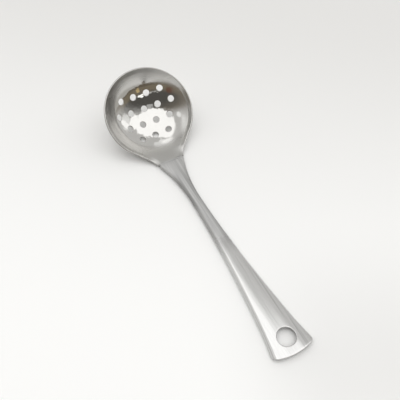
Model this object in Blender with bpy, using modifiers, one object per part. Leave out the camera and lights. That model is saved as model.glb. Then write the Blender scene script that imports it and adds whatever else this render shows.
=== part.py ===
"""Perforated soup ladle of pressed stainless steel: a bowl, a handle and the weld between them.

Metres, +Z up, +X from the bowl towards the end of the handle. The ladle lies as on a table: the
underside of the bowl and the end of the handle touch the plane z = 0, and the origin is in the
middle of the space that it takes up there.
"""

from math import asin, cos, hypot, pi, radians, sin, sqrt, tan

import bmesh
import bpy
from mathutils import Matrix, Vector

# Sheet and joint
SHEET = 0.0012  # thickness of the steel
CLEARANCE = 0.0003  # between the weld and each piece that it joins
WELD_WIDTH = 0.0014
WELD_CROWN = 0.0001  # how far the weld stands proud on top
WELD_ROOT = 0.0003  # how far the weld stands proud underneath
WELD_SHORT = 0.0014  # how far the weld stops short of each side, which leaves a small notch

# Bowl
BOWL_DIAMETER = 0.0649  # inside the edge of the lip
DISH_DEPTH = 0.0132  # of the round dish, measured where the lip begins
LIP_WIDTH = 0.00265
LIP_RISE = 0.0005  # how far the edge of the lip is turned up above the continued wall of the dish

# Tongue of the bowl, which carries the handle
TONGUE_RISE = radians(10.2)  # slope of the tongue above the table
TONGUE_LENGTH = 0.0124  # from the dish to the weld
TONGUE_SPREAD = radians(44)  # how far round the rim the tongue begins, each side of the handle
TONGUE_FALL = 0.0015  # how far the edge of the lip is turned down below the tongue at the weld
TONGUE_SPARE = 0.008  # cut off at the weld

# Punched holes
HOLE_DIAMETER = 0.0048
HOLE_PITCH = 0.011  # along a row, before the dish is pressed
ROW_PITCH = 0.0109  # from row to row, before the dish is pressed
ROW_COUNTS = (4, 5, 4, 3)  # from the far side of the bowl towards the handle
FIRST_ROW = -0.0161  # of the row furthest from the handle, from the axis of the bowl
PATTERN_OFFSET = 0.0012  # of the whole pattern towards +Y

# Handle
HANDLE_LENGTH = 0.164  # from the weld to the end
ROOT_WIDTH = 0.0202  # at the weld
NECK_WIDTH = 0.0074  # at the narrowest place
NECK_PLACE = 0.0374  # from the weld to the narrowest place
END_WIDTH = 0.0282
ROOT_TAPER = 2.15  # how suddenly the root narrows into the neck
END_TAPER = 1.72  # how suddenly the neck widens towards the end
SHOULDER_WIDTH = 0.0024  # of the rounded edge on each side
ROOT_SIDE_DEPTH = 0.0026  # how far the sides are turned down at the weld
SIDE_LAND = 0.0007  # straight strip along the edge of each side
CROWN_TILT = radians(8)  # slope of the top where it meets the shoulder
FLAT_SHARE = 0.3  # share of the top, between the shoulders, that is flat
END_ARC_RADIUS = 0.035
END_CORNER_RADIUS = 0.0028
END_ZONE = 0.020  # stretch in which the cross-sections take up the arc of the end
HANG_HOLE_DIAMETER = 0.012
HANG_HOLE_TO_END = 0.0115  # from the middle of the hole to the end

# Finishes: colour and roughness
POLISHED = ((0.66, 0.65, 0.63), 0.12)
SATIN = ((0.60, 0.59, 0.57), 0.32)
GROUND = ((0.56, 0.55, 0.53), 0.38)

# Fineness of the meshes
DISH_ROWS = 6
LIP_ROWS = 3
RIM_STEPS = 20  # round the lip, on one half of the bowl
SIDE_STEPS = 5  # along one side of the tongue
TIP_STEPS = 4
STATIONS = 28  # along the handle
CROWN_STEPS = 2
SHOULDER_STEPS = 5
WELD_STEPS = 4  # over the weld
PUNCH_SIDES = 16
HANG_HOLE_SIDES = 32
MERGE = 0.00001  # points nearer than this become one

# Tools, with spare length past what they cut
PUNCH_LENGTH = 6 * SHEET
SAW_SIZE = 4 * (ROOT_WIDTH + TONGUE_SPARE)

# Derived dimensions of the bowl, whose dish is part of a sphere
RIM_RADIUS = BOWL_DIAMETER / 2
ROOT_RADIUS = RIM_RADIUS - LIP_WIDTH
SPHERE_RADIUS = (ROOT_RADIUS**2 + DISH_DEPTH**2) / (2 * DISH_DEPTH)
WALL_SLOPE = asin(ROOT_RADIUS / SPHERE_RADIUS)
BOWL_TILT = WALL_SLOPE - TONGUE_RISE
TONGUE_END = ROOT_RADIUS + TONGUE_LENGTH * cos(WALL_SLOPE)  # in the plane of the rim

# Where the weld is, from the centre of the dish's sphere, and how high above the table
WELD_X = SPHERE_RADIUS * sin(TONGUE_RISE) + TONGUE_LENGTH * cos(TONGUE_RISE)
HANDLE_HEIGHT = SHEET + SPHERE_RADIUS * (1 - cos(TONGUE_RISE)) + TONGUE_LENGTH * sin(TONGUE_RISE)


def clear_scene():
    for obj in list(bpy.data.objects):
        bpy.data.objects.remove(obj, do_unlink=True)


def new_collection(name):
    collection = bpy.data.collections.new(name)
    bpy.context.scene.collection.children.link(collection)
    return collection


def steel(name, surface):
    colour, roughness = surface
    material = bpy.data.materials.new(name)
    material.use_nodes = True
    shader = material.node_tree.nodes["Principled BSDF"]
    shader.inputs["Base Color"].default_value = (*colour, 1.0)
    shader.inputs["Metallic"].default_value = 1.0
    shader.inputs["Roughness"].default_value = roughness
    return material


def smooth_step(value):
    value = min(max(value, 0.0), 1.0)
    return value * value * (3 - 2 * value)


def mix(first, second, share):
    return first + (second - first) * share


def new_object(name, mesh_builder, collection):
    mesh = bpy.data.meshes.new(name)
    mesh_builder.to_mesh(mesh)
    mesh_builder.free()
    obj = bpy.data.objects.new(name, mesh)
    collection.objects.link(obj)
    return obj


def loft(name, rows, collection):
    """Open surface through rows of points. Rows run one way and points the other, seen from above."""
    builder = bmesh.new()
    grid = [[builder.verts.new(point) for point in row] for row in rows]
    for low, high in zip(grid, grid[1:]):
        for step in range(len(low) - 1):
            builder.faces.new((low[step], high[step], high[step + 1], low[step + 1]))
    bmesh.ops.remove_doubles(builder, verts=builder.verts, dist=MERGE)
    return new_object(name, builder, collection)


def mirror_across_handle(obj):
    modifier = obj.modifiers.new("other half", "MIRROR")
    modifier.use_axis = (False, True, False)
    modifier.merge_threshold = MERGE


def thicken(obj, thickness):
    modifier = obj.modifiers.new("sheet", "SOLIDIFY")
    modifier.thickness = thickness
    modifier.offset = -1.0
    modifier.use_even_offset = True


def cut(obj, cutter):
    modifier = obj.modifiers.new(cutter.name, "BOOLEAN")
    modifier.operation = "DIFFERENCE"
    modifier.object = cutter


def as_cutter(obj):
    obj.hide_render = True
    obj.display_type = "WIRE"
    return obj


def finish(obj, material):
    obj.data.materials.append(material)
    obj.data.shade_smooth()


# Handle: cross-sections from the middle of the top, over the shoulder, to the edge of one side


def half_width(x):
    """Half the handle's width at a distance from the weld."""
    if x < NECK_PLACE:
        share = ((NECK_PLACE - x) / NECK_PLACE) ** ROOT_TAPER
        return mix(NECK_WIDTH, ROOT_WIDTH, share) / 2
    share = ((x - NECK_PLACE) / (HANDLE_LENGTH - NECK_PLACE)) ** END_TAPER
    return mix(NECK_WIDTH, END_WIDTH, share) / 2


def side_depth(x):
    """How far the sides are turned down: at the end they reach the table."""
    return mix(ROOT_SIDE_DEPTH, HANDLE_HEIGHT, x / HANDLE_LENGTH)


def section(half, depth):
    top = half - SHOULDER_WIDTH
    flat = FLAT_SHARE * top
    crown = (top - flat) * tan(CROWN_TILT) / 2
    points = [(0.0, 0.0), (flat, 0.0)]
    for step in range(1, CROWN_STEPS + 1):
        share = step / CROWN_STEPS
        points.append((mix(flat, top, share), -crown * share**2))
    across = SHOULDER_WIDTH / (1 - sin(CROWN_TILT))
    down = (depth - SIDE_LAND - crown) / cos(CROWN_TILT)
    for step in range(1, SHOULDER_STEPS + 1):
        angle = mix(CROWN_TILT, pi / 2, step / SHOULDER_STEPS)
        y = top + across * (sin(angle) - sin(CROWN_TILT))
        z = -crown - down * (cos(CROWN_TILT) - cos(angle))
        points.append((y, z))
    points.append((half, -depth))
    return points


def end_setback(y, half):
    """How far the arc and the rounded corner of the end lie behind its middle."""
    setback = END_ARC_RADIUS - sqrt(END_ARC_RADIUS**2 - y**2)
    into_corner = min(max(y - half + END_CORNER_RADIUS, 0.0), END_CORNER_RADIUS)
    return setback + END_CORNER_RADIUS - sqrt(END_CORNER_RADIUS**2 - into_corner**2)


def handle_row(x):
    half = half_width(x)
    pull = max(1 - (HANDLE_LENGTH - x) / END_ZONE, 0.0)
    return [(x - pull * end_setback(y, half), y, z) for y, z in section(half, side_depth(x))]


def make_handle(parts, cutters):
    start = WELD_WIDTH / 2 + CLEARANCE
    rows = [handle_row(mix(start, HANDLE_LENGTH, step / STATIONS)) for step in range(STATIONS + 1)]
    handle = loft("handle", rows, parts)
    handle.location = (WELD_X, 0.0, HANDLE_HEIGHT)
    mirror_across_handle(handle)
    thicken(handle, SHEET)

    punch = bmesh.new()
    hole_radius = HANG_HOLE_DIAMETER / 2
    bmesh.ops.create_cone(
        punch,
        cap_ends=True,
        segments=HANG_HOLE_SIDES,
        radius1=hole_radius,
        radius2=hole_radius,
        depth=PUNCH_LENGTH,
    )
    punch = as_cutter(new_object("hang_hole_punch", punch, cutters))
    punch.location = (WELD_X + HANDLE_LENGTH - HANG_HOLE_TO_END, 0.0, HANDLE_HEIGHT)
    cut(handle, punch)
    finish(handle, steel("satin_steel", SATIN))
    return [handle, punch]


# Weld: a bead with the cross-section of the handle's root, as far as the turn of each shoulder


def weld_section():
    half = half_width(0.0)
    limit = half - WELD_SHORT
    points = []
    for point in section(half, side_depth(0.0)):
        if point[0] > limit:
            inside = Vector(points[-1])
            share = (limit - inside.x) / (point[0] - inside.x)
            points.append(tuple(inside.lerp(Vector(point), share)))
            return points
        points.append(point)


def make_weld(parts):
    points = weld_section()
    rows = []
    for step in range(WELD_STEPS + 1):
        share = mix(-1.0, 1.0, step / WELD_STEPS)
        proud = WELD_CROWN * (1 - share**2)
        rows.append([(share * WELD_WIDTH / 2, y, z + proud) for y, z in points])
    weld = loft("neck_weld", rows, parts)
    weld.location = (WELD_X, 0.0, HANDLE_HEIGHT)
    mirror_across_handle(weld)
    thicken(weld, SHEET + WELD_ROOT)
    finish(weld, steel("ground_weld", GROUND))
    return [weld]


# Bowl: its own frame has the sphere's centre as origin, x towards the handle and z out of the bowl


def tongue_share(x):
    """0 where the bowl is round, 1 where the tongue has become flat like the handle."""
    return smooth_step((x - ROOT_RADIUS) / (TONGUE_END - ROOT_RADIUS))


def wall_height(x, y):
    """The dish, then its tangent cone, which flattens along the tongue."""
    radius = hypot(x, y)
    if radius <= ROOT_RADIUS:
        return -sqrt(SPHERE_RADIUS**2 - radius**2)
    reach = mix(radius, x, tongue_share(x))
    return (reach - ROOT_RADIUS) * tan(WALL_SLOPE) - SPHERE_RADIUS * cos(WALL_SLOPE)


def lip_turn(x):
    """How the edge of the lip is turned, up round the dish and down along the tongue."""
    share = tongue_share(x)
    lean = share * BOWL_TILT
    rise = mix(LIP_RISE, -TONGUE_FALL, share)
    return Vector((-rise * sin(lean), 0.0, rise * cos(lean)))


def half_outline():
    """One half of the blank's outline, from the tip of the tongue to the far side of the rim."""
    root = Vector((TONGUE_END, ROOT_WIDTH / 2))
    narrowing = ROOT_TAPER * (ROOT_WIDTH - NECK_WIDTH) / (2 * NECK_PLACE)
    along = Vector((cos(WALL_SLOPE) / cos(TONGUE_RISE), -narrowing)).normalized()
    spare = root + along * TONGUE_SPARE
    rim = Vector((cos(TONGUE_SPREAD), sin(TONGUE_SPREAD))) * RIM_RADIUS
    round_rim = Vector((-sin(TONGUE_SPREAD), cos(TONGUE_SPREAD)))
    length = (rim - root).length

    points = []
    for step in range(TIP_STEPS):
        angle = pi / 2 * step / TIP_STEPS
        points.append(Vector((spare.x + TONGUE_SPARE * cos(angle), spare.y * sin(angle))))
    points.append(spare)
    for step in range(SIDE_STEPS):
        t = step / SIDE_STEPS
        from_root = root * (1 + 2 * t) - along * length * t
        to_rim = rim * (3 - 2 * t) - round_rim * length * (1 - t)
        points.append(from_root * (1 - t) ** 2 + to_rim * t**2)
    for step in range(RIM_STEPS + 1):
        angle = mix(TONGUE_SPREAD, pi, step / RIM_STEPS)
        points.append(Vector((RIM_RADIUS * cos(angle), RIM_RADIUS * sin(angle))))
    points[-1].y = 0.0
    return points


def lip_roots(outline):
    """The inner edge of the lip, a lip's width inside the outline."""
    roots = []
    last = len(outline) - 1
    for index, point in enumerate(outline):
        before = outline[index - 1] if index else Vector((point.x, -outline[1].y))
        after = outline[index + 1] if index < last else Vector((point.x, -outline[-2].y))
        along = (after - before).normalized()
        inward = Vector((-along.y, along.x))
        root = point + inward * LIP_WIDTH
        if index in (0, last):
            root.y = 0.0
        roots.append(root)
    return roots


def on_wall(point):
    return Vector((point.x, point.y, wall_height(point.x, point.y)))


def bowl_rows():
    outline = half_outline()
    roots = lip_roots(outline)
    rows = []
    for step in range(DISH_ROWS + 1):
        rows.append([on_wall(root * (step / DISH_ROWS)) for root in roots])
    for step in range(1, LIP_ROWS + 1):
        share = step / LIP_ROWS
        row = []
        for root, edge in zip(roots, outline):
            row.append(on_wall(root.lerp(edge, share)) + lip_turn(edge.x) * share**2)
        rows.append(row)
    return rows


def hole_places():
    """Where the holes are on the dish: a regular pattern, punched flat and then pressed round."""
    for row, count in enumerate(ROW_COUNTS):
        x = FIRST_ROW + row * ROW_PITCH
        for index in range(count):
            y = PATTERN_OFFSET + (index - (count - 1) / 2) * HOLE_PITCH
            out = Vector((x, y, 0.0))
            angle = out.length / SPHERE_RADIUS
            yield SPHERE_RADIUS * (sin(angle) * out.normalized() - cos(angle) * Vector((0, 0, 1)))


def make_hole_punches(cutters):
    """One peg for each hole, square to the dish where it goes through."""
    builder = bmesh.new()
    for middle in hole_places():
        turn = middle.to_track_quat("Z", "Y").to_matrix().to_4x4()
        bmesh.ops.create_cone(
            builder,
            cap_ends=True,
            segments=PUNCH_SIDES,
            radius1=HOLE_DIAMETER / 2,
            radius2=HOLE_DIAMETER / 2,
            depth=PUNCH_LENGTH,
            matrix=Matrix.Translation(middle) @ turn,
        )
    return as_cutter(new_object("hole_punches", builder, cutters))


def make_tongue_saw(cutters):
    """A block over everything beyond the place where the tongue is cut for the weld."""
    builder = bmesh.new()
    bmesh.ops.create_cube(builder, size=SAW_SIZE)
    saw = as_cutter(new_object("tongue_saw", builder, cutters))
    edge = WELD_X - WELD_WIDTH / 2 - CLEARANCE
    saw.location = (edge + SAW_SIZE / 2, 0.0, HANDLE_HEIGHT)
    return saw


def make_bowl(parts, cutters):
    bowl = loft("perforated_bowl", bowl_rows(), parts)
    punches = make_hole_punches(cutters)
    for obj in (bowl, punches):
        obj.location = (0.0, 0.0, SPHERE_RADIUS + SHEET)
        obj.rotation_euler = (0.0, BOWL_TILT, 0.0)
    saw = make_tongue_saw(cutters)
    mirror_across_handle(bowl)
    thicken(bowl, SHEET)
    cut(bowl, saw)
    cut(bowl, punches)
    finish(bowl, steel("polished_steel", POLISHED))
    return [bowl, punches, saw]


def bounds(objects):
    graph = bpy.context.evaluated_depsgraph_get()
    points = []
    for obj in objects:
        shaped = obj.evaluated_get(graph)
        points += [shaped.matrix_world @ vertex.co for vertex in shaped.data.vertices]
    low = Vector(min(point[axis] for point in points) for axis in range(3))
    high = Vector(max(point[axis] for point in points) for axis in range(3))
    return low, high


def main():
    clear_scene()
    parts = new_collection("soup_ladle")
    cutters = new_collection("cutters")
    frame = bpy.data.objects.new("ladle_frame", None)
    parts.objects.link(frame)

    objects = make_bowl(parts, cutters) + make_handle(parts, cutters) + make_weld(parts)
    for obj in objects:
        obj.parent = frame
    bpy.context.view_layer.update()
    low, high = bounds([obj for obj in objects if not obj.hide_render])
    frame.location = (-(low.x + high.x) / 2, -(low.y + high.y) / 2, -low.z)
    bpy.context.view_layer.update()


main()
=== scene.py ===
"""Looks of a perforated soup ladle of pressed stainless steel.

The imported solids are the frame. A finer bowl, handle and neck weld take the place of the solids, with
rounded sheet edges and steel finishes. Metres, +Z up, +X from the bowl towards the end of the handle.
"""

from math import asin, ceil, cos, hypot, pi, radians, sin, sqrt, tan

import bmesh
import bpy
from mathutils import Matrix, Vector
from mathutils.bvhtree import BVHTree
from mathutils.geometry import delaunay_2d_cdt
from mathutils.kdtree import KDTree


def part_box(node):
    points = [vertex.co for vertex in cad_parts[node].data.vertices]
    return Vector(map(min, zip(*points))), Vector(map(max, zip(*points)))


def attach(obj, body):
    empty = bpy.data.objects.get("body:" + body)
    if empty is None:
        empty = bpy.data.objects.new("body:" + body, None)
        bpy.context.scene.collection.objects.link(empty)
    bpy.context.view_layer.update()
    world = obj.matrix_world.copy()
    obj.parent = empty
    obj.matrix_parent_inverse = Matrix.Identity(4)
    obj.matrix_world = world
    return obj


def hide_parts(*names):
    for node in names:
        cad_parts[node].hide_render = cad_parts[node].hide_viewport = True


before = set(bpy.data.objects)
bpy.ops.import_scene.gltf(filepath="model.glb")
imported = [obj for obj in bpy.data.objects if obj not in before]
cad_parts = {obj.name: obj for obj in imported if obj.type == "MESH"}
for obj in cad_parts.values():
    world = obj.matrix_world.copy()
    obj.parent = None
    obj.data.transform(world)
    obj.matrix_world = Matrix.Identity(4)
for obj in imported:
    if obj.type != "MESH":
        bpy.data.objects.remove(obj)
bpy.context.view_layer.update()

# Sheet and joint
SHEET = 0.0012
CLEARANCE = 0.0003
WELD_WIDTH = 0.0014
WELD_CROWN = 0.00001
WELD_ROOT = 0.0003
WELD_STATIONS = 15
WELD_REACH = 0.648  # how far out the weld follows the handle's section. It leaves a small notch beside it
JOINT_REACH = WELD_WIDTH / 2 + CLEARANCE
BEND_REACH = 0.005  # how far the bend between tongue and handle runs on each side of the weld

# Rounding of the sheet's edges
LIP_ROUNDING = 0.00045
SIDE_ROUNDING = 0.0004
PUNCH_ROUNDING = 0.00022
HANG_HOLE_ROUNDING = 0.0003

# Bowl
BOWL_DIAMETER = 0.0649
DISH_DEPTH = 0.0132
LIP_WIDTH = 0.00265
LIP_RISE = 0.0005
LIP_CURVE = 0.35  # 0 for a lip folded along its root, 1 for one that curves up evenly
CREASE_SHARE = 0.32  # width of the crease at the root of the lip, as a share of the lip's
CREASE_DEPTH = 0.00012
CREASE_START = -0.7  # where the crease starts, in rim radii from the dish's axis towards the handle
TONGUE_RISE = radians(10.2)
TONGUE_LENGTH = 0.0124
TONGUE_SPREAD = radians(44)
TONGUE_FALL = 0.0015
TONGUE_SPARE = 0.008

# Handle
HANDLE_LENGTH = 0.164
ROOT_WIDTH = 0.0202
NECK_WIDTH = 0.0074
NECK_PLACE = 0.0374
ROOT_TAPER = 2.15
SHOULDER_WIDTH = 0.0024
ROOT_SIDE_DEPTH = 0.0026
CROWN_TILT = radians(8)
HANG_HOLE_DIAMETER = 0.012
HANG_HOLE_TO_END = 0.0115

# Fineness
GRAIN = 0.00075  # spacing of the points on the dish
GRAIN_GAP = 0.6  # least distance of these points from the root of the lip, as a share of GRAIN
FLAT_SCALE = 1000  # the dish is divided into triangles in millimetres
FLAT_MERGE = 0.00001
RIM_STEPS = 112
TONGUE_STEPS = 40
TIP_STEPS = 12
LIP_ROWS = 16
EDGE_STEPS = 4
SHARP_ANGLE = radians(40)

# The dish is part of a sphere, and the tongue carries on from it towards the weld
RIM_RADIUS = BOWL_DIAMETER / 2
ROOT_RADIUS = RIM_RADIUS - LIP_WIDTH
DISH_RADIUS = (ROOT_RADIUS**2 + DISH_DEPTH**2) / (2 * DISH_DEPTH)
WALL_SLOPE = asin(ROOT_RADIUS / DISH_RADIUS)
BOWL_TILT = WALL_SLOPE - TONGUE_RISE
TONGUE_END = ROOT_RADIUS + TONGUE_LENGTH * cos(WALL_SLOPE)
WELD_FROM_DISH = DISH_RADIUS * sin(TONGUE_RISE) + TONGUE_LENGTH * cos(TONGUE_RISE)
BEND_CURVE = tan(TONGUE_RISE) / (4 * BEND_REACH)

# Where the pieces are
weld_low, weld_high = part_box("neck_weld")
WELD_X = (weld_low[0] + weld_high[0]) / 2
HANDLE_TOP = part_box("handle")[1][2]
DISH_CENTRE = Vector((WELD_X - WELD_FROM_DISH, 0.0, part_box("perforated_bowl")[0][2] + SHEET + DISH_RADIUS))

# Where the camera stands, as seen from above: azimuth from the -Y side, elevation over the table
CAMERA_AZIMUTH = radians(61.89)
CAMERA_ELEVATION = radians(54.53)
CAMERA_TARGET = Vector((-0.01268, 0.00292, 0.0))
CAMERA_DISTANCE = 0.3942
CAMERA_LENS = 50.72
CAMERA_CLIP = 0.01


# Numbers in node trees, written as plain arithmetic


class Field:
    """A number that changes over a surface, taken from a node's socket."""

    def __init__(self, socket):
        self.socket = socket

    def __add__(self, other):
        return arithmetic("ADD", self, other)

    def __radd__(self, other):
        return arithmetic("ADD", other, self)

    def __sub__(self, other):
        return arithmetic("SUBTRACT", self, other)

    def __rsub__(self, other):
        return arithmetic("SUBTRACT", other, self)

    def __mul__(self, other):
        return arithmetic("MULTIPLY", self, other)

    def __rmul__(self, other):
        return arithmetic("MULTIPLY", other, self)

    def __truediv__(self, other):
        return arithmetic("DIVIDE", self, other)

    def __pow__(self, other):
        return arithmetic("POWER", self, other)


def tree_of(values):
    return next(value.socket.id_data for value in values if isinstance(value, Field))


def feed(sockets, values):
    for socket, value in zip(sockets, values):
        if isinstance(value, Field):
            socket.id_data.links.new(value.socket, socket)
        else:
            socket.default_value = value


def arithmetic(operation, *values):
    node = tree_of(values).nodes.new("ShaderNodeMath")
    node.operation = operation
    feed(node.inputs, values)
    return Field(node.outputs["Value"])


def ramp(value, low, high, kind="LINEAR"):
    """0 up to low, 1 from high on."""
    node = tree_of((value, low, high)).nodes.new("ShaderNodeMapRange")
    node.interpolation_type = kind
    feed([node.inputs[name] for name in ("Value", "From Min", "From Max")], (value, low, high))
    return Field(node.outputs["Result"])


def soft_ramp(value, low, high):
    return ramp(value, low, high, "SMOOTHSTEP")


def parts_of(socket):
    """X, Y and Z of a vector."""
    node = socket.id_data.nodes.new("ShaderNodeSeparateXYZ")
    socket.id_data.links.new(socket, node.inputs["Vector"])
    return [Field(output) for output in node.outputs]


def vector_from(*values):
    node = tree_of(values).nodes.new("ShaderNodeCombineXYZ")
    feed(node.inputs, values)
    return node.outputs["Vector"]


def blend(tree, first, second, share):
    """Colour between two, each given as numbers or as a socket."""
    node = tree.nodes.new("ShaderNodeMix")
    node.data_type = "RGBA"
    for name, colour in (("A", first), ("B", second)):
        if isinstance(colour, tuple):
            node.inputs[name].default_value = (*colour, 1.0)
        else:
            tree.links.new(colour, node.inputs[name])
    tree.links.new(share.socket, node.inputs["Factor"])
    return node.outputs["Result"]


# Geometry Nodes


def new_rule(name, sizes):
    """A node tree with a named input for each size, and the inputs as fields."""
    tree = bpy.data.node_groups.new(name, "GeometryNodeTree")
    tree.interface.new_socket("Sheet", in_out="OUTPUT", socket_type="NodeSocketGeometry")
    for size, value in sizes.items():
        kind = "NodeSocketInt" if isinstance(value, int) else "NodeSocketFloat"
        tree.interface.new_socket(size, in_out="INPUT", socket_type=kind)
    tree.interface.new_socket("Finish", in_out="INPUT", socket_type="NodeSocketMaterial")
    given = tree.nodes.new("NodeGroupInput")
    return tree, {size: Field(given.outputs[size]) for size in (*sizes, "Finish")}


def place_by(tree, geometry, place):
    """Moves the points of a geometry to a computed place."""
    node = tree.nodes.new("GeometryNodeSetPosition")
    tree.links.new(geometry, node.inputs["Geometry"])
    tree.links.new(place, node.inputs["Position"])
    return node.outputs["Geometry"]


def point_place(tree):
    return tree.nodes.new("GeometryNodeInputPosition").outputs["Position"]


def close_rule(tree, geometry, finish):
    realize = tree.nodes.new("GeometryNodeRealizeInstances")
    paint = tree.nodes.new("GeometryNodeSetMaterial")
    result = tree.nodes.new("NodeGroupOutput")
    tree.links.new(geometry, realize.inputs["Geometry"])
    tree.links.new(realize.outputs["Geometry"], paint.inputs["Geometry"])
    tree.links.new(finish.socket, paint.inputs["Material"])
    tree.links.new(paint.outputs["Geometry"], result.inputs["Sheet"])


def made_by(tree, sizes, finish):
    """The plain mesh that a rule makes with these sizes."""
    obj = bpy.data.objects.new(tree.name, bpy.data.meshes.new(tree.name))
    bpy.context.scene.collection.objects.link(obj)
    modifier = obj.modifiers.new(tree.name, "NODES")
    modifier.node_group = tree
    for item in tree.interface.items_tree:
        if item.in_out == "INPUT":
            modifier[item.identifier] = finish if item.name == "Finish" else sizes[item.name]
    graph = bpy.context.evaluated_depsgraph_get()
    mesh = bpy.data.meshes.new_from_object(obj.evaluated_get(graph))
    bpy.data.objects.remove(obj, do_unlink=True)
    return mesh


# Channel section of the handle, which the weld shares

CHANNEL = {
    "Start": JOINT_REACH,
    "Stop": HANDLE_LENGTH - SIDE_ROUNDING,
    "Stations": 190,
    "Columns": 73,
    "Length": HANDLE_LENGTH,
    "Root Width": ROOT_WIDTH,
    "Neck Width": NECK_WIDTH,
    "Neck Place": NECK_PLACE,
    "End Width": 0.0282,
    "Root Taper": ROOT_TAPER,
    "End Taper": 1.72,
    "Shoulder Width": SHOULDER_WIDTH,
    "Root Side Depth": ROOT_SIDE_DEPTH - SIDE_ROUNDING,
    "End Side Depth": HANDLE_TOP - SIDE_ROUNDING,
    "Side Land": 0.0007 - SIDE_ROUNDING,
    "Crown Tilt": CROWN_TILT,
    "Flat Share": 0.3,
    "End Arc Radius": 0.035,
    "End Corner Radius": 0.0028,
    "End Zone": 0.020,
    "Reach": 1.0,
    "Bead": 0.0,
}
TOP_COLUMNS = 0.55  # share of the columns on the top
SHOULDER_COLUMNS = 0.92  # share of the columns on the top and the shoulders


def channel_rule():
    """Crowned top, rounded shoulders and turned-down sides, on a plan that narrows to a neck and widens."""
    tree, size = new_rule("pressed_channel", CHANNEL)
    grid = tree.nodes.new("GeometryNodeMeshGrid")
    tree.links.new(size["Stations"].socket, grid.inputs["Vertices X"])
    tree.links.new(size["Columns"].socket, grid.inputs["Vertices Y"])
    along, across, _ = parts_of(point_place(tree))

    x = size["Start"] + (size["Stop"] - size["Start"]) * (along + 0.5)
    to_root = arithmetic("MAXIMUM", size["Neck Place"] - x, 0.0) / size["Neck Place"]
    to_end = arithmetic("MAXIMUM", x - size["Neck Place"], 0.0) / (size["Length"] - size["Neck Place"])
    flare = (size["Root Width"] - size["Neck Width"]) * to_root ** size["Root Taper"]
    spread = (size["End Width"] - size["Neck Width"]) * to_end ** size["End Taper"]
    half = (size["Neck Width"] + flare + spread) / 2
    depth = size["Root Side Depth"] + (size["End Side Depth"] - size["Root Side Depth"]) * x / size["Length"]

    out = arithmetic("ABSOLUTE", across) * 2.0 * size["Reach"]
    on_top = ramp(out, 0.0, TOP_COLUMNS)
    on_shoulder = ramp(out, TOP_COLUMNS, SHOULDER_COLUMNS)
    on_side = ramp(out, SHOULDER_COLUMNS, 1.0)
    tilt = size["Crown Tilt"]
    top = half - size["Shoulder Width"]
    crown = top * (1.0 - size["Flat Share"]) * arithmetic("TANGENT", tilt) / 2
    turn = tilt + (pi / 2 - tilt) * on_shoulder
    wide = size["Shoulder Width"] / (1.0 - arithmetic("SINE", tilt))
    tall = (depth - size["Side Land"] - crown) / arithmetic("COSINE", tilt)
    y = top * on_top + wide * (arithmetic("SINE", turn) - arithmetic("SINE", tilt))
    z = 0.0 - crown * ramp(on_top, size["Flat Share"], 1.0) ** 2.0
    z = z - tall * (arithmetic("COSINE", tilt) - arithmetic("COSINE", turn)) - size["Side Land"] * on_side

    arc = size["End Arc Radius"]
    corner = size["End Corner Radius"]
    into = arithmetic("MINIMUM", arithmetic("MAXIMUM", y - half + corner, 0.0), corner)
    setback = arc - arithmetic("SQRT", arc * arc - y * y) + corner
    setback = setback - arithmetic("SQRT", arithmetic("MAXIMUM", corner * corner - into * into, 0.0))
    pull = arithmetic("MAXIMUM", 1.0 - (size["Length"] - x) / size["End Zone"], 0.0)

    bead = size["Bead"] * (1.0 - (x / JOINT_REACH) * (x / JOINT_REACH))
    bent = arithmetic("MAXIMUM", BEND_REACH - x, 0.0)
    sink = bent * bent * BEND_CURVE
    place = vector_from(
        x - pull * setback + WELD_X,
        y * arithmetic("SIGN", across),
        z + bead - sink + HANDLE_TOP,
    )
    close_rule(tree, place_by(tree, grid.outputs["Mesh"], place), size["Finish"])
    return tree


# Punched holes of the bowl

PUNCHES = {
    "Dish Radius": DISH_RADIUS,
    "Sheet": SHEET,
    "Hole Diameter": 0.0048,
    "Rim Width": 0.0005,
    "Edge Rounding": PUNCH_ROUNDING,
    "Hole Pitch": 0.011,
    "Row Pitch": 0.0109,
    "First Row": -0.0161,
    "Offset": 0.0012,
    "Row 1": 4,
    "Row 2": 5,
    "Row 3": 4,
    "Row 4": 3,
    "Sides": 48,
}
RIM_PASSES = (0.0, 0.3, 0.5, 0.6, 0.8, 1.0)  # inner face, rounding, wall, rounding and outer face of a hole
RIM_SEGMENTS = 20


def punched_rim(tree, size):
    """The edge of one hole: a ring on the inner face, the rounded wall and a ring on the outer face."""
    pipe = tree.nodes.new("GeometryNodeMeshCylinder")
    pipe.fill_type = "NONE"
    feed([pipe.inputs[name] for name in ("Vertices", "Side Segments", "Radius", "Depth")],
         (size["Sides"], RIM_SEGMENTS, 1.0, 1.0))
    around_x, around_y, height = parts_of(point_place(tree))
    way = height + 0.5
    inner, upper, wall, lower, outer = [
        ramp(way, start, stop) for start, stop in zip(RIM_PASSES, RIM_PASSES[1:])
    ]
    rounding = size["Edge Rounding"]
    hole = size["Hole Diameter"] / 2
    rim = size["Rim Width"]
    rim_below = rim + (hole + rounding + rim) * size["Sheet"] / size["Dish Radius"]
    upper_turn = upper * (pi / 2)
    lower_turn = lower * (pi / 2)
    radius = hole + rounding + rim * (1.0 - inner) - rounding * arithmetic("SINE", upper_turn)
    radius = radius + rounding * (1.0 - arithmetic("COSINE", lower_turn)) + rim_below * outer
    depth = rounding * (1.0 - arithmetic("COSINE", upper_turn)) + (size["Sheet"] - 2.0 * rounding) * wall
    depth = depth + rounding * arithmetic("SINE", lower_turn)
    shell = size["Dish Radius"] + depth
    rise = arithmetic("SQRT", shell * shell - radius * radius) - size["Dish Radius"]
    return place_by(tree, pipe.outputs["Mesh"], vector_from(around_x * radius, around_y * radius, rise))


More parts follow.
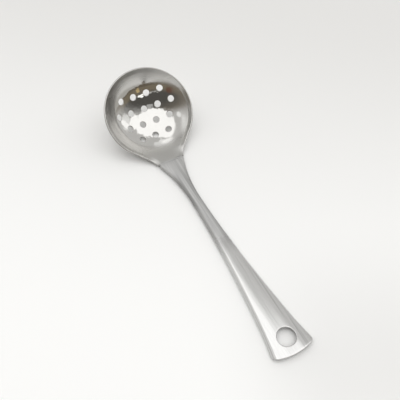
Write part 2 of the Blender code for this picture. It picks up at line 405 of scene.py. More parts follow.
def punches_rule():
    """Rows of holes, regular on the flat blank, wrapped over the dish. The dish's centre is the origin."""
    tree, size = new_rule("punched_holes", PUNCHES)
    rows = tree.nodes.new("GeometryNodeJoinGeometry")
    for row in (1, 2, 3, 4):
        line = tree.nodes.new("GeometryNodeMeshLine")
        count = size[f"Row {row}"]
        tree.links.new(count.socket, line.inputs["Count"])
        first = size["Offset"] - (count - 1.0) / 2.0 * size["Hole Pitch"]
        start = vector_from(size["First Row"] + size["Row Pitch"] * (row - 1.0), first, 0.0)
        tree.links.new(start, line.inputs["Start Location"])
        tree.links.new(vector_from(0.0, size["Hole Pitch"], 0.0), line.inputs["Offset"])
        tree.links.new(line.outputs["Mesh"], rows.inputs["Geometry"])

    x, y, _ = parts_of(point_place(tree))
    out = arithmetic("SQRT", x * x + y * y)
    turn = out / size["Dish Radius"]
    reach = size["Dish Radius"] * arithmetic("SINE", turn) / out
    low = 0.0 - size["Dish Radius"] * arithmetic("COSINE", turn)
    wrapped = place_by(tree, rows.outputs["Geometry"], vector_from(x * reach, y * reach, low))

    upright = tree.nodes.new("FunctionNodeAlignRotationToVector")
    upright.axis = "Z"
    tree.links.new(point_place(tree), upright.inputs["Vector"])
    holes = tree.nodes.new("GeometryNodeInstanceOnPoints")
    tree.links.new(wrapped, holes.inputs["Points"])
    tree.links.new(punched_rim(tree, size), holes.inputs["Instance"])
    tree.links.new(upright.outputs["Rotation"], holes.inputs["Rotation"])
    close_rule(tree, holes.outputs["Instances"], size["Finish"])
    return tree


# Sheets: open surfaces that get their thickness and rounded edges


def mix(first, second, share):
    return first + (second - first) * share


def smooth_step(value):
    value = min(max(value, 0.0), 1.0)
    return value * value * (3 - 2 * value)


def nearest_of(places):
    """Finds the nearest of these places."""
    finder = KDTree(len(places))
    for index, place in enumerate(places):
        finder.insert(place, index)
    finder.balance()
    return finder


def open_loops(builder):
    """Closed chains of points along the open edges."""
    waiting = dict.fromkeys(edge for edge in builder.edges if edge.is_boundary)
    loops = []
    while waiting:
        edge = next(iter(waiting))
        del waiting[edge]
        loop = list(edge.verts)
        while loop[-1] is not loop[0]:
            edge = next(edge for edge in loop[-1].link_edges if edge in waiting)
            del waiting[edge]
            loop.append(edge.other_vert(loop[-1]))
        loops.append(loop[:-1])
    return loops


def outward(vertex):
    """The way off the sheet at a point of its open edge."""
    way = Vector()
    for edge in vertex.link_edges:
        if edge.is_boundary:
            face = edge.link_faces[0]
            aside = (edge.verts[1].co - edge.verts[0].co).cross(face.normal).normalized()
            middle = (edge.verts[0].co + edge.verts[1].co) / 2
            way += aside if aside.dot(middle - face.calc_center_median()) > 0 else -aside
    return way.normalized()


def edge_profile(thickness, rounding):
    """How deep and how far out the points of a rounded edge lie, between the two faces of the sheet."""
    if not rounding:
        return [(thickness * step / (2 * EDGE_STEPS + 1), 0.0) for step in range(1, 2 * EDGE_STEPS + 1)]
    turns = [pi / 2 * step / EDGE_STEPS for step in range(EDGE_STEPS + 1)]
    upper = [(rounding * (1 - cos(turn)), rounding * sin(turn)) for turn in turns]
    lower = [(thickness - depth, out) for depth, out in reversed(upper)]
    return (upper + lower)[1:-1]


def close_sheet(builder, faces, under, edges):
    """Adds the lower face of a sheet and its edges. Each edge is a loop of points and their rounding."""
    strips = []
    for loop, roundings in edges:
        strip = []
        for vertex, rounding in zip(loop, roundings):
            thickness = (under[vertex].co - vertex.co).length
            down = (under[vertex].co - vertex.co) / thickness
            out = outward(vertex)
            profile = edge_profile(thickness, rounding)
            strip.append([vertex.co + down * depth + out * far for depth, far in profile])
        strips.append(strip)
    for face in faces:
        builder.faces.new([under[vertex] for vertex in reversed(face.verts)])
    for (loop, _), strip in zip(edges, strips):
        ribs = []
        for vertex, places in zip(loop, strip):
            ribs.append([vertex, *(builder.verts.new(place) for place in places), under[vertex]])
        for rib, following in zip(ribs, ribs[1:] + ribs[:1]):
            for step in range(len(rib) - 1):
                builder.faces.new((rib[step], following[step], following[step + 1], rib[step + 1]))


def finished_piece(name, builder, finish):
    bmesh.ops.recalc_face_normals(builder, faces=builder.faces)
    if builder.calc_volume(signed=True) < 0:
        bmesh.ops.reverse_faces(builder, faces=builder.faces)
    mesh = bpy.data.meshes.new(name)
    builder.to_mesh(mesh)
    builder.free()
    mesh.materials.append(finish)
    mesh.shade_smooth()
    mesh.set_sharp_from_angle(angle=SHARP_ANGLE)
    obj = bpy.data.objects.new(name, mesh)
    bpy.context.scene.collection.objects.link(obj)
    return obj


# Handle and weld

HOLE_PATCH = 0.0088  # half the side of the square round the hanging hole
HOLE_RINGS = (0.22, 0.42, 0.6, 0.76, 0.9, 1.0)  # shares of the way from the square to the hole


def punch_hanging_hole(builder):
    """Puts rings of faces that run in to the hole in place of a square of the handle's top."""
    stations, columns = CHANNEL["Stations"], CHANNEL["Columns"]
    builder.verts.ensure_lookup_table()
    grid = [builder.verts[row * columns : (row + 1) * columns] for row in range(stations)]
    surface = BVHTree.FromBMesh(builder)
    middle = Vector((WELD_X + HANDLE_LENGTH - HANG_HOLE_TO_END, 0.0))
    centre = columns // 2
    rows = [row for row in range(stations) if abs(grid[row][centre].co.x - middle.x) < HOLE_PATCH]
    level = grid[(rows[0] + rows[-1]) // 2]
    strips = [column for column in range(columns) if abs(level[column].co.y) < HOLE_PATCH]
    first, last, left, right = rows[0], rows[-1], strips[0], strips[-1]

    ring = [grid[first][column] for column in range(left, right)]
    ring += [grid[row][right] for row in range(first, last)]
    ring += [grid[last][column] for column in range(right, left, -1)]
    ring += [grid[row][left] for row in range(last, first, -1)]
    inside = {vertex for row in grid[first : last + 1] for vertex in row[left : right + 1]}
    square = [face for face in builder.faces if inside.issuperset(face.verts)]
    bmesh.ops.delete(builder, geom=square, context="FACES")

    border = [vertex.co.xy for vertex in ring]
    radius = HANG_HOLE_DIAMETER / 2 + HANG_HOLE_ROUNDING
    for share in HOLE_RINGS:
        following = []
        for start in border:
            place = start.lerp(middle + (start - middle).normalized() * radius, share)
            height = surface.ray_cast((*place, 1.0), (0.0, 0.0, -1.0))[0].z
            following.append(builder.verts.new((*place, height)))
        for step in range(len(ring)):
            after = (step + 1) % len(ring)
            builder.faces.new((ring[step], ring[after], following[after], following[step]))
        ring = following
    bmesh.ops.recalc_face_normals(builder, faces=builder.faces)


def channel_piece(name, sheet, thickness, finish, holes=False):
    builder = bmesh.new()
    builder.from_mesh(sheet)
    if holes:
        punch_hanging_hole(builder)
    builder.normal_update()
    if sum(face.normal.z for face in builder.faces) < 0:
        bmesh.ops.reverse_faces(builder, faces=builder.faces)
        builder.normal_update()
    faces = list(builder.faces)
    cuts = (WELD_X - JOINT_REACH, WELD_X + JOINT_REACH)
    edges = []
    for loop in open_loops(builder):
        widest = max(abs(vertex.co.x - loop[0].co.x) for vertex in loop)
        hole = holes and widest < 2 * HOLE_PATCH
        roundings = []
        for vertex in loop:
            at_cut = min(abs(vertex.co.x - cut) for cut in cuts) < CLEARANCE / 10
            roundings.append(0.0 if at_cut else HANG_HOLE_ROUNDING if hole else SIDE_ROUNDING)
        edges.append((loop, roundings))
    under = {}
    for vertex in list(builder.verts):
        under[vertex] = builder.verts.new(vertex.co - vertex.normal * thickness)
    close_sheet(builder, faces, under, edges)
    return finished_piece(name, builder, finish)


# Bowl. Its own frame has the dish's centre as origin, x towards the handle and z out of the bowl


def tongue_share(x):
    """0 where the bowl is round, 1 where the tongue has become flat like the handle."""
    return smooth_step((x - ROOT_RADIUS) / (TONGUE_END - ROOT_RADIUS))


def on_wall(place):
    """The dish, then its tangent cone, which flattens along the tongue."""
    radius = hypot(place.x, place.y)
    if radius <= ROOT_RADIUS:
        return Vector((place.x, place.y, -sqrt(DISH_RADIUS**2 - radius**2)))
    reach = mix(radius, place.x, tongue_share(place.x))
    return Vector((place.x, place.y, (reach - ROOT_RADIUS) * tan(WALL_SLOPE) - DISH_RADIUS * cos(WALL_SLOPE)))


def lip_turn(x):
    """How the edge of the lip is turned, up round the dish and down along the tongue."""
    share = tongue_share(x)
    lean = share * BOWL_TILT
    rise = mix(LIP_RISE, -TONGUE_FALL, share)
    return Vector((-rise * sin(lean), 0.0, rise * cos(lean)))


def on_lip(root, edge, share):
    """A point between the lip's root and its edge. The crease fades out round the far half of the bowl."""
    turned = mix(share, share**2, LIP_CURVE)
    sunk = sin(pi * min(share / CREASE_SHARE, 1.0)) ** 2 * CREASE_DEPTH
    crease = sunk * smooth_step(edge.x / RIM_RADIUS - CREASE_START)
    return on_wall(root.lerp(edge, share)) + lip_turn(edge.x) * turned - Vector((0.0, 0.0, crease))


def blank_outline():
    """The outline of the blank, once round from the tip of the tongue, seen along the bowl's axis."""
    root = Vector((TONGUE_END, ROOT_WIDTH / 2))
    narrowing = ROOT_TAPER * (ROOT_WIDTH - NECK_WIDTH) / (2 * NECK_PLACE)
    along = Vector((cos(WALL_SLOPE) / cos(TONGUE_RISE), -narrowing)).normalized()
    spare = root + along * TONGUE_SPARE
    rim = Vector((cos(TONGUE_SPREAD), sin(TONGUE_SPREAD))) * RIM_RADIUS
    round_rim = Vector((-sin(TONGUE_SPREAD), cos(TONGUE_SPREAD)))
    length = (rim - root).length
    half = []
    for step in range(1, TIP_STEPS):
        angle = pi / 2 * step / TIP_STEPS
        half.append(Vector((spare.x + TONGUE_SPARE * cos(angle), spare.y * sin(angle))))
    for step in range(TIP_STEPS):
        half.append(spare.lerp(root, step / TIP_STEPS))
    for step in range(TONGUE_STEPS):
        t = step / TONGUE_STEPS
        from_root = root * (1 + 2 * t) - along * length * t
        to_rim = rim * (3 - 2 * t) - round_rim * length * (1 - t)
        half.append(from_root * (1 - t) ** 2 + to_rim * t**2)
    for step in range(RIM_STEPS):
        angle = mix(TONGUE_SPREAD, pi, step / RIM_STEPS)
        half.append(Vector((cos(angle), sin(angle))) * RIM_RADIUS)
    tip = Vector((spare.x + TONGUE_SPARE, 0.0))
    far = Vector((-RIM_RADIUS, 0.0))
    return [tip, *half, far, *(Vector((point.x, -point.y)) for point in reversed(half))]


def lip_roots(outline):
    """The inner edge of the lip, a lip's width inside the outline."""
    roots = []
    for before, point, after in zip(outline[-1:] + outline, outline, outline[1:] + outline[:1]):
        along = (after - before).normalized()
        roots.append(point + Vector((-along.y, along.x)) * LIP_WIDTH)
    return roots


def encloses(polygon, place):
    inside = False
    for first, second in zip(polygon, polygon[1:] + polygon[:1]):
        if (first.y > place.y) != (second.y > place.y):
            inside ^= place.x < mix(first.x, second.x, (place.y - first.y) / (second.y - first.y))
    return inside


def dish_grains(roots, holes):
    """Evenly spread places inside the lip, clear of its root and of the holes."""
    border = nearest_of([root.to_3d() for root in roots])
    rims = nearest_of(holes)
    keep_off = PUNCHES["Hole Diameter"] / 2 + PUNCHES["Rim Width"] + PUNCH_ROUNDING + GRAIN / 2
    grains = []
    row_step = GRAIN * sqrt(3) / 2
    for row in range(-ceil(RIM_RADIUS / row_step), ceil(RIM_RADIUS / row_step)):
        for column in range(-ceil(RIM_RADIUS / GRAIN), ceil(2 * RIM_RADIUS / GRAIN)):
            place = Vector(((column + row % 2 / 2) * GRAIN, row * row_step))
            if border.find(place.to_3d())[2] < GRAIN * GRAIN_GAP or not encloses(roots, place):
                continue
            if rims.find(on_wall(place))[2] > keep_off:
                grains.append(place)
    return grains


def bowl_piece(rims, finish):
    """The bowl, built round the rims of its holes: dish, lip, lower face and the cut at the weld."""
    builder = bmesh.new()
    builder.from_mesh(rims)
    loops = open_loops(builder)
    between = DISH_RADIUS + SHEET / 2
    inner_loops = [loop for loop in loops if loop[0].co.length < between]
    outer_rims = [vertex for loop in loops if loop[0].co.length > between for vertex in loop]
    outer_places = nearest_of([vertex.co for vertex in outer_rims])
    holes = [sum((vertex.co for vertex in loop), Vector()) / len(loop) for loop in inner_loops]

    outline = blank_outline()
    roots = lip_roots(outline)
    root_ring = [builder.verts.new(on_wall(root)) for root in roots]
    corners = []
    limits = []
    hole_of = {}
    for number, ring in enumerate([root_ring, *inner_loops]):
        start = len(corners)
        corners += ring
        limits += [(start + step, start + (step + 1) % len(ring)) for step in range(len(ring))]
        if number:
            hole_of.update(dict.fromkeys(ring, number))
    corners += [builder.verts.new(on_wall(place)) for place in dish_grains(roots, holes)]
    flat = [corner.co.xy * FLAT_SCALE for corner in corners]
    _, _, triangles, origins, _, _ = delaunay_2d_cdt(flat, limits, [], 1, FLAT_MERGE)
    faces = []
    for triangle in triangles:
        points = [corners[origins[index][0]] for index in triangle]
        numbers = {hole_of.get(point) for point in points}
        if len(numbers) == 1 and None not in numbers:
            continue
        faces.append(builder.faces.new(points))

    ring = root_ring
    last = 1 - LIP_ROUNDING * cos(WALL_SLOPE) / LIP_WIDTH
    lip = []
    for row in range(1, LIP_ROWS + 1):
        share = last * row / LIP_ROWS
        following = [builder.verts.new(on_lip(root, edge, share)) for root, edge in zip(roots, outline)]
        for step in range(len(ring)):
            after = (step + 1) % len(ring)
            faces.append(builder.faces.new((ring[step], following[step], following[after], ring[after])))
        ring = following
        lip += following

    for face in faces:
        face.normal_update()
    under = {}
    for vertex in corners + lip:
        if vertex in hole_of:
            under[vertex] = outer_rims[outer_places.find(vertex.co * (1 + SHEET / DISH_RADIUS))[1]]
        elif hypot(vertex.co.x, vertex.co.y) <= ROOT_RADIUS:
            under[vertex] = builder.verts.new(vertex.co * (1 + SHEET / DISH_RADIUS))
        else:
            vertex.normal_update()
            under[vertex] = builder.verts.new(vertex.co - vertex.normal * SHEET)
    close_sheet(builder, faces, under, [(ring, [LIP_ROUNDING] * len(ring))])

    builder.transform(Matrix.Translation(DISH_CENTRE) @ Matrix.Rotation(BOWL_TILT, 4, "Y"))
    for vertex in builder.verts:
        bent = max(vertex.co.x - WELD_X + BEND_REACH, 0.0)
        vertex.co.z -= bent**2 * BEND_CURVE
    everything = [*builder.verts, *builder.edges, *builder.faces]
    cut = Vector((WELD_X - JOINT_REACH, 0.0, 0.0))
    towards_handle = Vector((1.0, 0.0, 0.0))
    bmesh.ops.bisect_plane(builder, geom=everything, plane_co=cut, plane_no=towards_handle, clear_outer=True)
    bmesh.ops.holes_fill(builder, edges=[edge for edge in builder.edges if edge.is_boundary], sides=0)
    return finished_piece("perforated_bowl_sheet", builder, finish)


# Finishes

# Zones of the bowl's finish and of its painted shade, in the bowl's own frame: where each starts and where it
# is full
WALL_ZONE = (0.0215, 0.0295)  # from the dish's axis
# The lip's zone carries only painted shade
LIP_SHADE_ZONE = (0.0290, 0.0318)
PUNCHED_ZONE = (0.024, 0.019)
FAR_ZONE = (-0.014, -0.024)  # towards the handle
TONGUE_ZONE = (0.020, 0.032)
TONGUE_SIDES = (0.024, 0.010)  # across

# Zones of the handle's finish and of its painted shade
DRESSED_ZONE = (0.081, 0.0648)  # from the weld: ground rougher
# Painted shade on the neck and the weld, deepest some way out from the weld
NECK_SHADE_ZONE = (0.092, 0.074)  # darker
NECK_SHADE_DEEPEST = (0.030, 0.060)
# Painted shade on the neck's flanks, stronger on the left: where it starts and ends along the handle, and
# across
FLANK_SHADE_START = (0.010, 0.022)
FLANK_SHADE_END = (0.056, 0.036)
LEFT_FLANK_SHADE = (-0.0012, -0.003)  # across
RIGHT_FLANK_SHADE = (0.0012, 0.003)
WORN_SIDE = (-0.003, 0.005)

# Colours of the steel
POLISHED = (0.66, 0.65, 0.63)
# Darker steel: the dish's random tone, and painted shade on the lip and the tongue
DARK_TONE_AND_SHADE = (0.43, 0.425, 0.412)
SATIN = (0.59, 0.585, 0.57)
BRUSHED = (0.61, 0.607, 0.60)
# Darker steel: the scores and lines, and painted shade on the neck
SCORES_AND_SHADE = (0.30, 0.298, 0.295)

# Noise, in waves per metre along each axis
TONGUE_BRUSH = (60.0, 1500.0, 60.0)
DISH_SMEAR = (70.0, 70.0, 70.0)
DISH_WAVES = (330.0, 330.0, 330.0)
DISH_PEEL = (600.0, 600.0, 600.0)
HANDLE_MARKS = (55.0, 55.0, 55.0)
ALONG_HANDLE = {
    "lines": (45.0, 2600.0, 2600.0),
    "bands": (12.0, 520.0, 520.0),
    "scores": (14.0, 900.0, 900.0),
}
ACROSS_WELD = {
    "lines": (2600.0, 60.0, 900.0),
    "bands": (700.0, 40.0, 300.0),
    "scores": (900.0, 14.0, 400.0),
}
SCORE_STRENGTH = (0.10, 0.18)  # noise from which a score starts, and where it is full

# Roughness
POLISHED_ROUGHNESS = 0.06
SATIN_ROUGHNESS = 0.15
GROUND_ROUGHNESS = 0.17


def new_finish(name, colour):
    """A metal. The plain colour serves programs that don't read its nodes."""
    finish = bpy.data.materials.new(name)
    finish.use_nodes = True
    shader = finish.node_tree.nodes["Principled BSDF"]
    shader.inputs["Base Color"].default_value = (*colour, 1.0)
    shader.inputs["Metallic"].default_value = 1.0
    return finish, finish.node_tree, shader


def piece_place(tree):
    return tree.nodes.new("ShaderNodeTexCoord").outputs["Object"]


def streaks(tree, place, scale, detail=3.0):
    """Noise about 0 that is stretched by its own scale along each axis."""
    mapping = tree.nodes.new("ShaderNodeMapping")
    mapping.inputs["Scale"].default_value = scale
    noise = tree.nodes.new("ShaderNodeTexNoise")
    noise.inputs["Scale"].default_value = 1.0
    noise.inputs["Detail"].default_value = detail
    tree.links.new(place, mapping.inputs["Vector"])
    tree.links.new(mapping.outputs["Vector"], noise.inputs["Vector"])
    return Field(noise.outputs[0]) - 0.5


def bump(shader, height, strength, distance):
    tree = shader.id_data
    node = tree.nodes.new("ShaderNodeBump")
    node.inputs["Strength"].default_value = strength
    node.inputs["Distance"].default_value = distance
    tree.links.new(height.socket, node.inputs["Height"])
    tree.links.new(node.outputs["Normal"], shader.inputs["Normal"])


def tint(shader, clean, dull, share):
    """Colour between two shades of the steel."""
    tree = shader.id_data
    tree.links.new(blend(tree, clean, dull, share), shader.inputs["Base Color"])


def polished_finish():
    """Mirror polish in the dish, which turns satin towards the lip and brushed on the tongue. Painted shade
    darkens the lip and the tongue.
    """
    finish, tree, shader = new_finish("polished_steel", POLISHED)
    mapping = tree.nodes.new("ShaderNodeMapping")
    mapping.vector_type = "TEXTURE"
    mapping.inputs["Location"].default_value = DISH_CENTRE
    mapping.inputs["Rotation"].default_value = (0.0, BOWL_TILT, 0.0)
    tree.links.new(piece_place(tree), mapping.inputs["Vector"])
    place = mapping.outputs["Vector"]
    x, y, _ = parts_of(place)
    out = arithmetic("SQRT", x * x + y * y)
    wall = soft_ramp(out, *WALL_ZONE)
    far_wall = wall * soft_ramp(x, *FAR_ZONE)
    lip = soft_ramp(out, *LIP_SHADE_ZONE)
    punched = soft_ramp(out, *PUNCHED_ZONE)
    tongue = soft_ramp(x, *TONGUE_ZONE) * soft_ramp(arithmetic("ABSOLUTE", y), *TONGUE_SIDES)
    # Painted shade: the tongue and the lip are darkened
    painted_lip_and_tongue_shade = arithmetic("MAXIMUM", tongue * 0.75, lip * 0.4)
    brush = streaks(tree, place, TONGUE_BRUSH)
    smear = streaks(tree, place, DISH_SMEAR)
    waves = streaks(tree, place, DISH_WAVES, 1.0)
    peel = streaks(tree, place, DISH_PEEL, 2.0)

    roughness = POLISHED_ROUGHNESS + wall * 0.15 + far_wall * 0.10 + tongue * 0.20
    roughness = roughness + smear * 0.05 + tongue * brush * 0.06
    feed([shader.inputs["Roughness"]], [roughness])
    tint(shader, POLISHED, DARK_TONE_AND_SHADE, painted_lip_and_tongue_shade * 0.7 + smear * 0.3 + 0.35)
    bump(shader, waves * (punched * 0.8 + 0.2) + peel * 0.08 + tongue * brush * 0.03, 0.8, 0.00012)
    return finish


def satin_finish(name, brush, base_roughness):
    """Brushed steel: fine lines, broader bands and single scores. Duller towards the weld, and darker there
    and on the neck's flanks by painted shade.
    """
    finish, tree, shader = new_finish(name, SATIN)
    place = piece_place(tree)
    lines = streaks(tree, place, brush["lines"])
    bands = streaks(tree, place, brush["bands"], 2.0)
    scores = ramp(streaks(tree, place, brush["scores"], 1.0), *SCORE_STRENGTH)
    marks = streaks(tree, place, HANDLE_MARKS)
    x, y, _ = parts_of(place)
    along = x - WELD_X
    dressed = soft_ramp(along + bands * 0.006, *DRESSED_ZONE)
    # Painted shade on the neck, deepest some way out from the weld
    neck_shade = soft_ramp(along, *NECK_SHADE_ZONE) * (ramp(along, *NECK_SHADE_DEEPEST) * 0.14 + 0.42)
    # Painted shade on the neck's flanks
    flank_shade = soft_ramp(y, *LEFT_FLANK_SHADE) * 0.5 + soft_ramp(y, *RIGHT_FLANK_SHADE) * 0.25
    flank_shade = flank_shade * ramp(along, *FLANK_SHADE_START) * soft_ramp(along, *FLANK_SHADE_END)
    worn = soft_ramp(y, *WORN_SIDE) * 0.8 + 0.2

    roughness = base_roughness + dressed * 0.34 + lines * 0.10 + bands * 0.08 + marks * 0.05
    feed([shader.inputs["Roughness"]], [roughness])
    tint(shader, BRUSHED, SCORES_AND_SHADE, flank_shade + neck_shade + (scores * 0.6 + bands * 1.2) * worn + lines * 0.7)
    bump(shader, lines * 0.3 + bands * 0.35, 0.5, 0.00003)
    return finish


# Stage

# Floor. Painted shade darkens it away from the camera, towards the right and in the near right corner. Each
# zone runs from its start to where it is full: towards the camera or to its right
FLOOR_REACH = 4.0
FLOOR_FAR_SHADE = (0.78, 0.775, 0.765)
FLOOR_NEAR = (0.975, 0.975, 0.97)
FLOOR_ZONE = (-0.27, 0.12)
FLOOR_SLANT = 0.2  # how much of the way to the right counts as farther
CORNER_SHADE_ZONE = (0.0, 0.12)
CORNER_SHADE_SIDE = (-0.02, 0.08)
CORNER_SHADE = 0.2
FLOOR_ROUGHNESS = 0.7
FLOOR_GLOSS = 0.2

# Beyond the picture's edge, mirrors see a painted reflection: a floor painted dimmer on the right and the dim
# room painted on the floor in front
ASIDE = (0.60, 0.59, 0.56)
ASIDE_ZONE = (0.05, 0.10)
IN_FRONT = (0.17, 0.14, 0.10)
IN_FRONT_ZONE = (0.155, 0.165)

# The room that the steel mirrors. A middle is a direction in degrees, see seen_from. A patch is a direction
# with half its width and half its height. An edge runs from outside to inside, in cosines of the angle to
# the middle
CEILING = (1.64, 1.64, 1.63)
CEILING_MIDDLE = (70.0, 84.0)
CEILING_EDGE = (0.755, 0.80)
CEILING_BACK = (178.0, 0.0)
CEILING_BACK_EDGE = (0.415, 0.365)
CEILING_PATCHES = ((92.0, 43.0, 16.0, 8.0), (-152.0, 53.0, 10.0, 6.0))

WALLS = (0.76, 0.755, 0.74)
WALL_PATCHES = (
    ((0.46, 0.455, 0.44), (-147.0, 30.0, 24.0, 16.0)),  # grey at the back
    ((1.25, 1.25, 1.24), (-97.0, 38.0, 18.0, 6.0)),  # light from the left
    ((1.2, 1.2, 1.19), (103.0, 26.0, 15.0, 10.0)),  # light from the right
)
SHADED_WALL = (0.58, 0.57, 0.54)
SHADED_MIDDLE = (98.0, 0.0)
SHADED_EDGE = (0.80, 0.92)
SHADED_HEIGHT = (0.12, 0.05)

DUSK = (0.275, 0.245, 0.205)
DUSK_MIDDLE = (-16.0, 0.0)
DUSK_EDGE = (0.27, 0.60)
DUSK_FADE = (0.73, 1.45)  # with height: weight and power
DIM_ROOM = (0.125, 0.12, 0.11)
DIM_ROOM_LOW = (0.27, 0.23, 0.17)
DIM_MIDDLE = (24.0, 0.0)
DIM_EDGE = (0.08, 0.72)
DIM_FADE = (1.35, 3.5)
DIM_LEAN = -0.37  # how much the top of the dim room falls to the right
DIM_LOW = (0.28, 0.12)
ROOM_PATCHES = (
    ((0.20, 0.11, 0.08), (-22.0, 9.0, 7.0, 6.0)),  # red
    ((0.72, 0.56, 0.30), (40.0, 1.5, 4.0, 7.0)),  # gold
    ((0.75, 0.75, 0.72), (22.0, 15.0, 24.0, 1.2)),  # pale line
    ((2.0, 2.0, 1.95), (36.0, 15.5, 6.0, 2.5)),  # bright bar on this line
)
LIGHT_PATCHES = (
    ((0.60, 0.60, 0.59), (28.0, 42.0, 9.0, 4.0)),  # over the dim room
    ((1.15, 1.15, 1.14), (-176.0, 50.0, 8.0, 7.0)),  # under the back of the ceiling
    ((1.25, 1.25, 1.24), (-167.0, 58.0, 5.0, 5.0)),
    ((1.35, 1.35, 1.34), (-66.0, 42.0, 6.0, 4.0)),  # left
    ((1.6, 1.6, 1.59), (108.0, 25.0, 6.0, 8.0)),  # right
)
PATCH_EDGE = (1.15, 0.85)
PATCH_FRONT = (0.0, 0.01)  # keeps a patch off the opposite side of the room
BACKDROP = (0.86, 0.86, 0.855)


def lay_floor():
    mesh = bpy.data.meshes.new("floor")
    builder = bmesh.new()
    bmesh.ops.create_grid(builder, x_segments=1, y_segments=1, size=FLOOR_REACH)
    builder.to_mesh(mesh)
    builder.free()
    floor = bpy.data.objects.new("floor", mesh)
    bpy.context.scene.collection.objects.link(floor)
    paint = bpy.data.materials.new("pale_table")
    paint.use_nodes = True
    tree = paint.node_tree
    shader = tree.nodes["Principled BSDF"]
    shader.inputs["Roughness"].default_value = FLOOR_ROUGHNESS
    shader.inputs["Specular IOR Level"].default_value = FLOOR_GLOSS
    x, y, _ = parts_of(piece_place(tree))
    nearer = x * sin(CAMERA_AZIMUTH) - y * cos(CAMERA_AZIMUTH)
    righter = x * cos(CAMERA_AZIMUTH) + y * sin(CAMERA_AZIMUTH)
    # Painted shade: the floor darkens away from the camera, towards the right and in the near right corner
    corner = soft_ramp(nearer, *CORNER_SHADE_ZONE) * soft_ramp(righter, *CORNER_SHADE_SIDE) * CORNER_SHADE
    near = soft_ramp(nearer - righter * FLOOR_SLANT - corner, *FLOOR_ZONE)
    colour = blend(tree, FLOOR_FAR_SHADE, FLOOR_NEAR, near)
    # Painted reflection: for glossy rays the floor is darker on the right and turns into a dim room in front
    mirrored = Field(tree.nodes.new("ShaderNodeLightPath").outputs["Is Glossy Ray"])
    colour = blend(tree, colour, ASIDE, mirrored * ramp(righter, *ASIDE_ZONE))
    colour = blend(tree, colour, IN_FRONT, mirrored * ramp(nearer, *IN_FRONT_ZONE))
    tree.links.new(colour, shader.inputs["Base Color"])
    mesh.materials.append(paint)


def seen_from(azimuth, elevation):
    """A direction in the room: azimuth from the camera's side, positive to its right, and elevation."""
    around = CAMERA_AZIMUTH - pi / 2 + radians(azimuth)
    reach = cos(radians(elevation))
    return Vector((cos(around) * reach, sin(around) * reach, sin(radians(elevation))))


def toward(place, direction):
    """How far a place lies along a direction."""
    return place[0] * direction.x + place[1] * direction.y + place[2] * direction.z


def glow(view, azimuth, elevation, wide, tall):
    """1 in the middle of an upright patch of the room, 0 outside it. Half sizes in degrees."""
    ahead = seen_from(azimuth, elevation)
    aside = seen_from(azimuth + 90.0, 0.0)
    above = aside.cross(ahead)
    above = above if above.z > 0 else -above
    over = toward(view, aside) / sin(radians(wide))
    up = toward(view, above) / sin(radians(tall))
    spread = arithmetic("SQRT", over * over + up * up)
    return soft_ramp(spread, *PATCH_EDGE) * ramp(toward(view, ahead), *PATCH_FRONT)


def with_patches(tree, view, colour, patches):
    for patch_colour, patch in patches:
        colour = blend(tree, colour, patch_colour, glow(view, *patch))
    return colour


def side_of_room(view, level, middle, fade):
    """How far a direction is towards the middle of a side. It counts for less the higher it points."""
    weight, power = fade
    height = arithmetic("MAXIMUM", view[2], 0.0)
    return toward(view, seen_from(*middle)) / level - height**power * weight


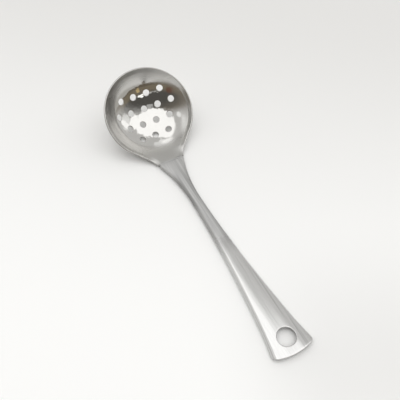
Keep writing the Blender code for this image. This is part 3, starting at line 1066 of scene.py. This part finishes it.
def light_stage():
    """A wide white ceiling, pale walls behind and beside, and a dim side of the room in front."""
    world = bpy.data.worlds.new("studio")
    bpy.context.scene.world = world
    world.use_nodes = True
    tree = world.node_tree
    view = parts_of(tree.nodes.new("ShaderNodeTexCoord").outputs["Generated"])
    level = arithmetic("SQRT", arithmetic("MAXIMUM", 1.0 - view[2] * view[2], 0.0001))

    ceiling = soft_ramp(toward(view, seen_from(*CEILING_MIDDLE)), *CEILING_EDGE)
    ceiling = ceiling * soft_ramp(toward(view, seen_from(*CEILING_BACK)), *CEILING_BACK_EDGE)
    for patch in CEILING_PATCHES:
        ceiling = arithmetic("MAXIMUM", ceiling, glow(view, *patch))
    shaded = ramp(toward(view, seen_from(*SHADED_MIDDLE)) / level, *SHADED_EDGE)
    shaded = shaded * ramp(view[2], *SHADED_HEIGHT)
    dusk = soft_ramp(side_of_room(view, level, DUSK_MIDDLE, DUSK_FADE), *DUSK_EDGE)
    lean = toward(view, seen_from(90.0, 0.0)) * view[2] * DIM_LEAN
    dim = soft_ramp(side_of_room(view, level, DIM_MIDDLE, DIM_FADE) + lean, *DIM_EDGE)
    room = blend(tree, DIM_ROOM, DIM_ROOM_LOW, soft_ramp(view[2], *DIM_LOW))
    room = with_patches(tree, view, room, ROOM_PATCHES)

    studio = with_patches(tree, view, WALLS, WALL_PATCHES)
    studio = blend(tree, studio, SHADED_WALL, shaded)
    studio = blend(tree, studio, DUSK, dusk)
    studio = blend(tree, studio, room, dim)
    studio = with_patches(tree, view, studio, LIGHT_PATCHES)
    studio = blend(tree, studio, CEILING, ceiling)
    seen = Field(tree.nodes.new("ShaderNodeLightPath").outputs["Is Camera Ray"])
    tree.links.new(blend(tree, studio, BACKDROP, seen), tree.nodes["Background"].inputs["Color"])


def set_camera():
    data = bpy.data.cameras.new("camera")
    data.lens = CAMERA_LENS
    data.clip_start = CAMERA_CLIP
    camera = bpy.data.objects.new("camera", data)
    reach = cos(CAMERA_ELEVATION)
    back = Vector((sin(CAMERA_AZIMUTH) * reach, -cos(CAMERA_AZIMUTH) * reach, sin(CAMERA_ELEVATION)))
    camera.location = CAMERA_TARGET + back * CAMERA_DISTANCE
    camera.rotation_euler = back.to_track_quat("Z", "Y").to_euler()
    bpy.context.scene.collection.objects.link(camera)
    bpy.context.scene.camera = camera


def dress_ladle():
    polished = polished_finish()
    satin = satin_finish("satin_steel", ALONG_HANDLE, SATIN_ROUGHNESS)
    ground = satin_finish("ground_weld", ACROSS_WELD, GROUND_ROUGHNESS)
    bowl = bowl_piece(made_by(punches_rule(), PUNCHES, polished), polished)
    channel = channel_rule()
    handle = channel_piece("handle_sheet", made_by(channel, CHANNEL, satin), SHEET, satin, holes=True)
    seam = {
        **CHANNEL,
        "Start": -JOINT_REACH,
        "Stop": JOINT_REACH,
        "Stations": WELD_STATIONS,
        "Reach": WELD_REACH,
        "Bead": WELD_CROWN,
    }
    weld = channel_piece("neck_weld_seam", made_by(channel, seam, ground), SHEET + WELD_ROOT, ground)
    for piece, node, slot in (
        (bowl, "perforated_bowl", "polished_steel"),
        (handle, "handle", "satin_steel"),
        (weld, "neck_weld", "ground_weld"),
    ):
        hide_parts(node)
        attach(piece, "root")


bpy.context.scene.view_settings.view_transform = "Standard"
set_camera()
dress_ladle()
lay_floor()
light_stage()
